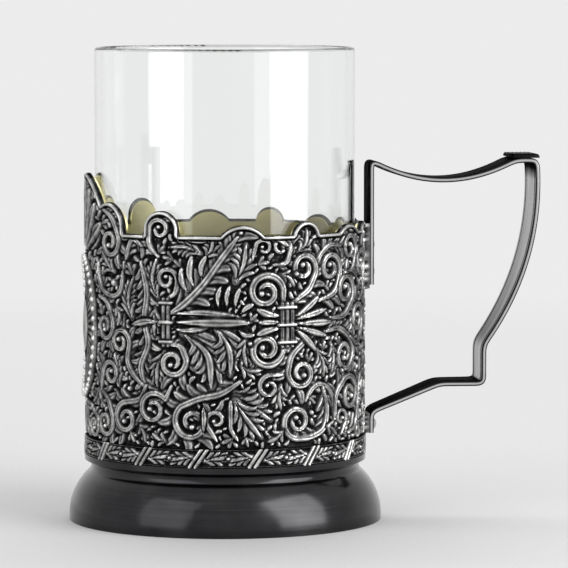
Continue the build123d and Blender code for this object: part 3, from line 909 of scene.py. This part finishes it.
def shell(name, angles, z, radius, tone, closed):
    """A carved shell: a grid of radii by height and angle, with a plain inner face.

    Angles run from the crest to the front, and the rows of the grid run up the wall.
    """
    radius = np.vstack([radius, np.full((2, len(angles)), SHEET_IN_R)])
    z = np.vstack([z, z[-1], z[0]])
    points = np.stack([-radius * np.cos(angles), -radius * np.sin(angles), z], -1)
    rows, cols = z.shape
    faces = quads(rows, cols, True, closed)
    if not closed:
        side = np.arange(rows) * cols
        faces += [side.tolist(), (side + cols - 1)[::-1].tolist()]
    mesh = bpy.data.meshes.new(name)
    mesh.from_pydata((points.reshape(-1, 3) * MM).tolist(), [], faces)
    if angles[-1] < angles[0]:
        mesh.flip_normals()
    paint(mesh, np.concatenate([tone.reshape(-1), np.full(2 * cols, INNER_TONE)]))
    mesh.validate()
    return mesh


def swept(name, rings, tone):
    """A closed skin over rings of points, with a cap at each end."""
    count, size, _ = rings.shape
    faces = quads(count, size, False, True)
    faces += [list(range(size)), list(range((count - 1) * size, count * size))]
    mesh = bpy.data.meshes.new(name)
    mesh.from_pydata((rings.reshape(-1, 3) * MM).tolist(), [], faces)
    skin = bmesh.new()
    skin.from_mesh(mesh)
    bmesh.ops.recalc_face_normals(skin, faces=skin.faces)
    skin.to_mesh(mesh)
    skin.free()
    paint(mesh, np.broadcast_to(tone, (count, size)).reshape(-1))
    return mesh


WALL_COLS = 440
WALL_ROWS = 165
# The rows of the wall are level up to a belt below the rim, and follow the rim above that
RIM_ROWS = 40
RIM_BELT_Z = RIM_Z - 2
# The height of carving that is fully rubbed
WALL_FULL = 1.25
# Flat pads under the strap's ends: from what angle they may lie, their half width, their lower and upper
# ends, and how rubbed they are
HANDLE_SIDE = 2
PAD_HALF_W = 5.8
PADS = [(59.4, 99), (0, 27.15)]
PAD_TONE = 0.45


def scrollwork():
    """The carved wall in two halves, joined at the crest and behind the handle."""
    field = draw_scrollwork()
    angles = np.linspace(0, math.pi, WALL_COLS)
    rim = rim_height(np.degrees(angles))
    level = np.linspace(WALL_LOW_Z, RIM_BELT_Z, WALL_ROWS)[:, None] * np.ones(WALL_COLS)
    climb = along(RIM_ROWS + 1)[1:, None] * (rim - RIM_BELT_Z)
    z = np.vstack([level, RIM_BELT_Z + climb])
    s = np.broadcast_to(angles * FIELD_R, z.shape)
    tone = field.read(field.tone(WALL_FULL), s, z)
    plain = (s / PLAIN_W) ** 2 + ((z - PLAIN_Z) / PLAIN_H) ** 2 < 1
    radius = GROUND_R + np.where(plain, 0, np.minimum(field.read(field.h, s, z), RELIEF))
    flat = strap_low.x / np.maximum(np.cos(math.pi - angles), 0.5)
    beside = flat * np.sin(angles) <= PAD_HALF_W
    for low, high in PADS:
        on_pad = beside & (angles > HANDLE_SIDE) & (z > low) & (z < high)
        radius = np.where(on_pad, flat, radius)
        tone = np.where(on_pad, PAD_TONE, tone)
    for name, side in (("scrollwork_front", 1), ("scrollwork_back", -1)):
        mesh = shell(name, angles * side, z, radius, tone, closed=False)
        piece = finish_piece(mesh, carved_silver, "holder")
        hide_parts("scrollwork_jacket")


# The leaf band: how often its leaves repeat, how far they stand off its ground, and its mesh
BAND_UNITS = 15
BAND_RELIEF = 1.05
BAND_COLS = 56 * BAND_UNITS
BAND_ROWS = 20
BAND_FULL = 1.1
# In one unit: the leaves' points along it and up from its middle, their half width and height, and a berry
BAND_LEAVES = [
    [(1.5, -0.4), (4.6, 0), (8.2, 0.6)],
    [(13.7, 0.4), (10.6, 0), (7.0, -0.6)],
]
BAND_LEAF = (1.9, 0.95)
BERRY_S = 7.55
BERRY = (0.7, 1.05)
# The edges' distance in, half width and height, and the two ties' places, half lean and half width
BAND_EDGE_IN = 0.26
BAND_EDGE = (0.28, 0.8)
TIES = (-0.75, 0.75)
TIE_LEAN = 1.5
TIE_HALF = 0.6


def leaf_band():
    """The band of lying leaves with slanted ties round the lower edge."""
    low, high = band_low.z, band_high.z
    middle = (low + high) / 2
    unit = 2 * HALF_TURN / BAND_UNITS
    field = Field(unit, low - 0.5, high + 0.5)
    for shift in (-unit, 0, unit):
        for leaf in BAND_LEAVES:
            acanthus(field, [(shift + s, middle + z) for s, z in leaf], *BAND_LEAF)
        ball(field, shift + BERRY_S, middle, *BERRY)
    for z in (low + BAND_EDGE_IN, high - BAND_EDGE_IN):
        field.stroke(spline([(-3, z), (unit + 3, z)]), *BAND_EDGE)
    for shift in (-unit, 0, unit):
        for beside in TIES:
            foot = (shift + beside - TIE_LEAN, low + 0.2)
            head = (shift + beside + TIE_LEAN, high - 0.2)
            field.stroke(spline([foot, head]), TIE_HALF, BAND_RELIEF, vein=0.3)
    angles = np.linspace(0, 2 * math.pi, BAND_COLS, endpoint=False)
    z = low + along(BAND_ROWS)[:, None] * (high - low) * np.ones(BAND_COLS)
    s = np.broadcast_to((angles * FIELD_R) % unit, z.shape)
    height = np.minimum(field.read(field.h, s, z), BAND_RELIEF)
    radius = band_high.x - BAND_RELIEF + height
    tone = field.read(field.tone(BAND_FULL), s, z)
    mesh = shell("leaf_band_relief", angles, z, radius, tone, closed=True)
    piece = finish_piece(mesh, carved_silver, "holder")
    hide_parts("leaf_band")


# Cartouche: a domed oval plaque with a moulded edge and engraved rays

PLAQUE_W = plaque_high.y - plaque_low.y
PLAQUE_H = plaque_high.z - plaque_low.z
PLAQUE_Z = (plaque_high.z + plaque_low.z) / 2
PLAQUE_IN_R = 34.8
PLAQUE_RINGS = 60
# Engraved rays: how many, points across one, how deep they are cut and how much that darkens them
PLAQUE_RAYS = 40
RAY_POINTS = 6
RAY_CUT = 0.16
RAY_SHADE = 0.4
# Share of the way out from the middle, height over the sheet, how rubbed, ray depth
PLAQUE_PROFILE = [
    (1, 0.5, 0.3, 0),
    (0.985, 1, 0.6, 0),
    (0.95, 1.25, 0.95, 0),
    (0.915, 1.05, 0.5, 0),
    (0.895, 0.72, 0.05, 0),
    (0.875, 0.72, 0.05, 0),
    (0.85, 0.95, 0.5, 0.1),
    (0.75, 1.12, 0.62, 0.5),
    (0.62, 1.3, 0.62, 0.9),
    (0.52, 1.42, 0.6, 0.8),
    (0.46, 1.45, 0.5, 0.3),
    (0.43, 1.25, 0.05, 0),
    (0.41, 1.25, 0.05, 0),
    (0.38, 1.55, 0.7, 0),
    (0.3, 1.75, 0.8, 0),
    (0.18, 1.9, 0.72, 0),
    (0.05, 1.98, 0.68, 0),
]


def cartouche():
    """The plaque, on the wall under the crest."""
    turn = np.linspace(0, 2 * math.pi, PLAQUE_RAYS * RAY_POINTS, endpoint=False)
    wave = 0.5 - 0.5 * np.cos(turn * PLAQUE_RAYS)

    def ring(share, radius):
        angle = PLAQUE_W / 2 * share * np.cos(turn) / FIELD_R
        z = PLAQUE_Z + PLAQUE_H / 2 * share * np.sin(turn)
        return np.stack([-radius * np.cos(angle), -radius * np.sin(angle), z], -1)

    rings = [ring(1, PLAQUE_IN_R)]
    tones = [np.full_like(turn, 0.2)]
    shares, heights, shades, depths = np.array(PLAQUE_PROFILE)[::-1].T
    for share in np.linspace(1, 0.05, PLAQUE_RINGS):
        depth = np.interp(share, shares, depths)
        height = np.interp(share, shares, heights) - RAY_CUT * depth * wave
        rings.append(ring(share, PLAQUE_IN_R + height))
        tones.append(np.interp(share, shares, shades) - RAY_SHADE * depth * wave)
    mesh = swept("cartouche_dome", np.array(rings), np.array(tones))
    piece = finish_piece(mesh, carved_silver, "holder")
    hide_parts("cartouche_plaque")


# Handle: a bent strap with a border and a groove along both faces, swept along its middle line

STRAP_T = 1.3
STRAP_ROOT_W = 9.6
STRAP_TIP_W = 15.0
STRAP_X = strap_low.x + STRAP_T / 2
STRAP_TOP = strap_high.z - STRAP_T / 2
STRAP_STEP = 0.4
# Corners of the middle line from its root, and how far the run to each one bows to its left
STRAP_LINE = [
    (0, 60.4, 0),
    (0, STRAP_TOP, 0),
    (37.4, STRAP_TOP, -5),
    (43, STRAP_TOP, 0),
    (29.3, 44.4, 4.6),
    (29.3, 34.4, 0),
    (17.8, 34.4, 0),
    (0, 27.2, 0),
    (0, 21.8, 0),
]
# A quarter of the section: distance in from the edge, share of the half thickness, how rubbed
STRAP_SECTION = [
    (9.9, 1, 0.68),
    (3.4, 0.98, 0.68),
    (2.5, 0.94, 0.7),
    (2.2, 0.84, 0.5),
    (2.05, 0.6, 0.06),
    (1.8, 0.54, 0),
    (1.55, 0.6, 0.06),
    (1.4, 0.86, 0.5),
    (1.15, 0.98, 0.68),
    (0.75, 1, 0.66),
    (0.4, 0.96, 0.4),
    (0.2, 0.86, 0.16),
    (0.08, 0.68, 0.14),
    (0.03, 0.5, 0.3),
    (0, 0.2, 0.78),
]
# Painted shade on the strap: how dark it keeps level runs and the inside of the thumb corner, how dark the
# strap gets towards its roots, over what lengths that grows to full, and how wide a border along the edges
# is left out of it
LEVEL_PAINTED_SHADE = 0.15
ROOT_DARKENING = 0.35
CORNER_PAINTED_SHADE = 0.15
ROOT_LONG = 10
CORNER_LONG = 7
CORNER_DEEP = 5
BORDER = 0.3


def bowed(start, end, bow):
    """Points along a run that bows to its left, without the last."""
    start, end = np.array(start), np.array(end)
    way = end - start
    length = np.linalg.norm(way)
    t = np.linspace(0, 1, max(2, int(length / STRAP_STEP)), endpoint=False)[:, None]
    left = np.array([-way[1], way[0]]) / length
    return start + way * t + left * 4 * bow * t * (1 - t)


def eased(line, reach):
    """A line with its corners rounded over so many points to each side."""
    head = 2 * line[0] - line[reach:0:-1]
    tail = 2 * line[-1] - line[-2 : -reach - 2 : -1]
    long = np.vstack([head, line, tail])
    width = 2 * reach + 1
    return np.stack([np.convolve(long[:, k], np.ones(width) / width, "valid") for k in (0, 1)], 1)


def strap_line():
    """The strap's middle line, from the upper tang round to the lower tab."""
    corners = [(STRAP_X + x, z) for x, z, _ in STRAP_LINE]
    runs = [bowed(a, b, row[2]) for a, b, row in zip(corners, corners[1:], STRAP_LINE[1:])]
    line = np.vstack(runs + [corners[-1:]])
    return eased(eased(line, reach=3), reach=3)


def strap():
    """The handle's strap, wider towards the thumb corner."""
    line = strap_line()
    ahead = np.gradient(line, axis=0)
    ahead /= np.linalg.norm(ahead, axis=1)[:, None]
    share = (line[:, 0] - strap_low.x) / (strap_high.x - strap_low.x)
    half_w = (STRAP_ROOT_W + (STRAP_TIP_W - STRAP_ROOT_W) * share)[:, None] / 2
    inset, thick, rubbed = np.array(STRAP_SECTION).T
    across = np.maximum(half_w - inset, 0)
    out = np.broadcast_to(thick * STRAP_T / 2, across.shape)
    across = np.hstack([across, across[:, ::-1], -across[:, 1:], -across[:, :0:-1]])
    out = np.hstack([out, -out[:, ::-1], -out[:, 1:], out[:, :0:-1]])
    # Painted shade: upright runs stay bright, while level runs and the inside of the thumb corner are
    # darkened as if in shade; the tone also darkens towards the roots at the wall
    painted_shade_along = LEVEL_PAINTED_SHADE + (1 - LEVEL_PAINTED_SHADE) * ahead[:, 1] ** 2
    painted_shade_along *= np.clip((line[:, 0] - STRAP_X) / ROOT_LONG, ROOT_DARKENING, 1)
    corner = np.clip((STRAP_TOP - line[:, 1]) / CORNER_DEEP, CORNER_PAINTED_SHADE, 1)
    painted_shade_along *= np.where(line[:, 0] > strap_high.x - CORNER_LONG, corner, 1)
    # The section's own tone, times the painted shade away from the border
    rub_and_painted_shade = np.where(inset > BORDER, painted_shade_along[:, None], 1) * rubbed
    shade = np.hstack([rub_and_painted_shade, rub_and_painted_shade[:, ::-1], rub_and_painted_shade[:, 1:], rub_and_painted_shade[:, :0:-1]])
    x = line[:, :1] - ahead[:, 1:] * out
    z = line[:, 1:] + ahead[:, :1] * out
    mesh = swept("bent_strap", np.stack([x, across, z], -1), shade)
    piece = finish_piece(mesh, strap_face, "holder")
    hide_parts("handle_strap")


# The thumb plate: its ribs and how deep they are cut, points along it, and how its ends drop off
THUMB_RIBS = 5
THUMB_CUT = 0.1
THUMB_POINTS = 61
THUMB_END = 0.5
THUMB_DROP = 0.45
# Towards its sides: shares of the half width, and of the thickness there
THUMB_SIDE = [(0.93, 1), (0.97, 0.9), (0.99, 0.75), (1, 0.55)]


def thumb_pad():
    """The black plate on the thumb corner, ribbed across, with rounded edges."""
    long = thumb_high.x - thumb_low.x
    wide = thumb_high.y - thumb_low.y
    thick = thumb_high.z - thumb_low.z
    t = along(THUMB_POINTS)
    edge = np.clip(np.minimum(t, 1 - t) * long / THUMB_END, 0, 1)
    rib = 0.5 - 0.5 * np.cos(2 * math.pi * np.clip((t - 0.1) / 0.8, 0, 1) * THUMB_RIBS)
    top = thick * (1 - THUMB_DROP * (1 - edge) ** 2) - THUMB_CUT * (1 - rib) * (edge == 1)
    rise = np.concatenate([top, np.zeros(2)])
    run = np.concatenate([t, [1, 0]])
    across = [(-y, z) for y, z in reversed(THUMB_SIDE)] + THUMB_SIDE
    y, squeeze = np.array(across).T[:, :, None]
    x = np.broadcast_to(thumb_low.x + run * long, (len(y), len(run)))
    z = thumb_low.z + rise * squeeze
    rings = np.stack([x, np.broadcast_to(wide / 2 * y, x.shape), z], -1)
    mesh = swept("thumb_pad", rings, tone=0.2)
    piece = finish_piece(mesh, black_polish, "holder", sharp=50)
    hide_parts("thumb_rest")


scrollwork()
leaf_band()
cartouche()
strap()
thumb_pad()


# Studio: pale floor, white surroundings and three soft boxes, in metres

# How bright the surroundings look, and how much light they give
BACKDROP = 0.84
FILL_LIGHT = 0.5
# The floor: its radius, where it begins to fade and where it is gone
FLOOR_R = 1.1
FADE_FROM = 0.12
FADE_TO = 0.7
# Soft boxes: azimuth, distance, height, width, height of the box and watts
LAMPS = {
    "box_right": (52, 0.95, 0.45, 0.75, 1.0, 9),
    "box_left": (-53, 0.95, 0.45, 0.7, 1.0, 2.8),
    "box_back": (176, 0.5, 0.9, 0.9, 0.5, 4),
}
LAMP_AIM = Vector((0, 0, 0.05))


def floor():
    """A pale floor disc that fades into the surroundings."""
    bpy.ops.mesh.primitive_circle_add(vertices=128, radius=FLOOR_R, fill_type="NGON")
    disc = bpy.context.object
    disc.name = "floor"
    made, tree, shader = material("floor_paper")
    grain = noise(tree, scale=900, detail=3)
    wire(tree, shader, {
        "Base Color": ramp(tree, grain, [(0.3, 0.66), (0.7, 0.7)]),
        "Roughness": 0.9,
        "Normal": bump(tree, grain, 0.05, 0.0001),
    })
    clear = put(tree, "BsdfTransparent")
    edge = fit(tree, axis_distance(tree), FADE_FROM, FADE_TO, 0.0, 1.0)
    blend = put(tree, "MixShader", {0: edge, 1: shader.outputs[0], 2: clear.outputs[0]})
    wire(tree, tree.get_output_node("ALL"), {"Surface": blend.outputs[0]})
    disc.data.materials.append(made)


def surroundings():
    """White where the camera, metal and glass see it, and a plain level elsewhere."""
    world = bpy.data.worlds.new("studio")
    scene.world = world
    world.use_nodes = True
    tree = world.node_tree
    tree.nodes.clear()
    path = put(tree, "LightPath").outputs
    seen = maths(tree, "MAXIMUM", path["Is Camera Ray"], path["Is Glossy Ray"])
    seen = maths(tree, "MAXIMUM", seen, path["Is Transmission Ray"])
    strength = fit(tree, seen, 0.0, 1.0, FILL_LIGHT, BACKDROP)
    sky = put(tree, "Background", {"Color": (1, 1, 1, 1), "Strength": strength})
    put(tree, "OutputWorld", {"Surface": sky.outputs[0]})


def stand(name, data, where, target):
    """Puts a lamp or the camera in the scene, turned to a target."""
    made = bpy.data.objects.new(name, data)
    scene.collection.objects.link(made)
    made.location = where
    made.rotation_euler = (target - made.location).to_track_quat("-Z", "Y").to_euler()
    return made


def soft_box(name, azimuth, distance, height, width, tall, power):
    """An area light that faces the holder; azimuth 0 is the front, and it grows to the right."""
    data = bpy.data.lights.new(name, "AREA")
    data.shape = "RECTANGLE"
    data.size = width
    data.size_y = tall
    data.energy = power
    turn = math.radians(azimuth)
    stand(name, data, (distance * math.sin(turn), -distance * math.cos(turn), height), LAMP_AIM)


def camera():
    """The photograph's view: a little left of the handle's side view, from slightly above."""
    azimuth = math.radians(8)
    distance = 1.0
    height = 0.141
    centre_right = 0.01526
    centre_z = 0.0606
    data = bpy.data.cameras.new("camera")
    data.sensor_width = 36
    data.sensor_fit = "HORIZONTAL"
    data.lens = 246
    right = Vector((math.cos(azimuth), -math.sin(azimuth), 0))
    out = Vector((-math.sin(azimuth), -math.cos(azimuth), 0))
    target = right * centre_right + Vector((0, 0, centre_z))
    where = target + out * distance
    where.z = height
    scene.camera = stand("camera", data, where, target)


floor()
surroundings()
for lamp_name, lamp_row in LAMPS.items():
    soft_box(lamp_name, *lamp_row)
camera()
scene.view_settings.view_transform = "Standard"
